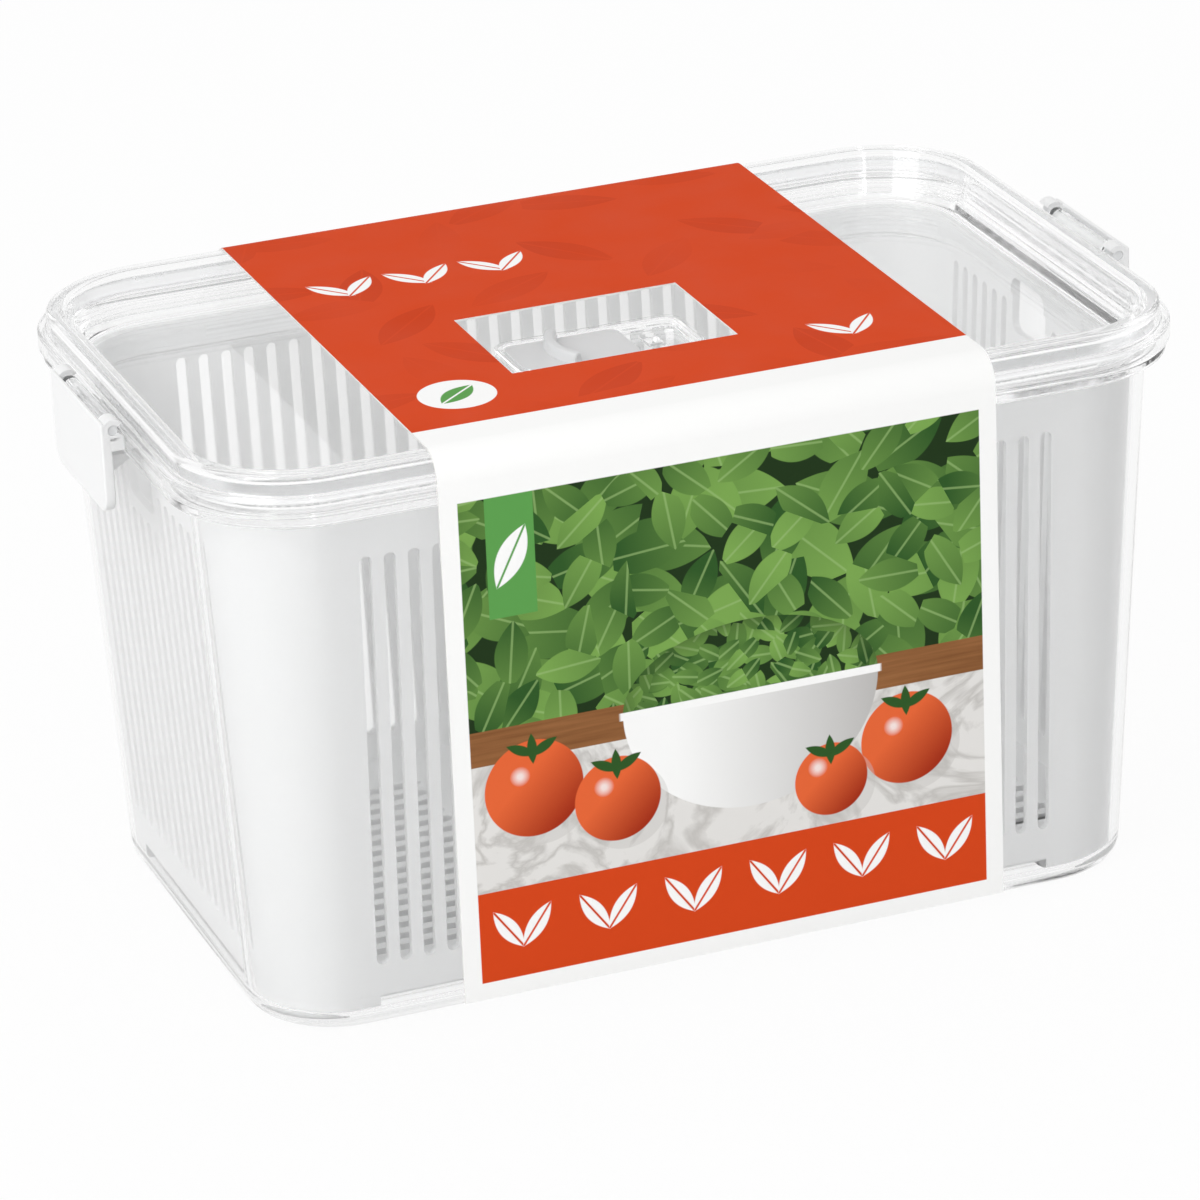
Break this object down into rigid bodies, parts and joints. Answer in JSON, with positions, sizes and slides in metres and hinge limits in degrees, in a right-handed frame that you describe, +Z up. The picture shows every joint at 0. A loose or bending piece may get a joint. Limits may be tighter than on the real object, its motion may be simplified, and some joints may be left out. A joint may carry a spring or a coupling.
{
  "type": "food storage container",
  "caption": "Clear airtight food container with a slotted drain basket, a latched lid with a sliding vent, and a printed card sleeve.",
  "frame": {"origin": "middle of the tub's underside, on the table", "axes": "+X along the container's length, -Y towards the printed front, +Z up"},
  "size_m": [0.2682, 0.1674, 0.1501],
  "materials": {
    "clear_plastic": "clear, polished",
    "white_plastic": "satin",
    "grey_plastic": "satin",
    "silicone": "matte, translucent",
    "card": "coated print"
  },
  "bodies": {
    "tub": {"tub": "clear_plastic"},
    "basket": {"basket": "white_plastic"},
    "lid": {"lid": "clear_plastic", "lid_seal": "silicone"},
    "latch_left": {"latch_left": "white_plastic"},
    "latch_right": {"latch_right": "white_plastic"},
    "vent": {"vent_slider": "grey_plastic", "vent_seal": "silicone"},
    "sleeve": {"sleeve": "card"}
  },
  "joints": [
    {"name": "basket_lift", "type": "slide", "parent": "tub", "child": "basket", "axis": [0, 0, 1], "range_m": [0, 0.15]},
    {"name": "lid_lift", "type": "slide", "parent": "basket", "child": "lid", "axis": [0, 0, 1], "range_m": [0, 0.12]},
    {"name": "latch_left_hinge", "type": "hinge", "parent": "lid", "child": "latch_left", "pos_m": [-0.131, 0, 0.1453], "axis": [0, 1, 0], "range_deg": [0, 110]},
    {"name": "latch_right_hinge", "type": "hinge", "parent": "lid", "child": "latch_right", "pos_m": [0.131, 0, 0.1453], "axis": [0, -1, 0], "range_deg": [0, 110]},
    {"name": "vent_slide", "type": "slide", "parent": "lid", "child": "vent", "axis": [1, 0, 0], "range_m": [0, 0.0146]},
    {"name": "sleeve_lift", "type": "slide", "parent": "lid", "child": "sleeve", "axis": [0, 0, 1], "range_m": [0, 0.165]}
  ]
}
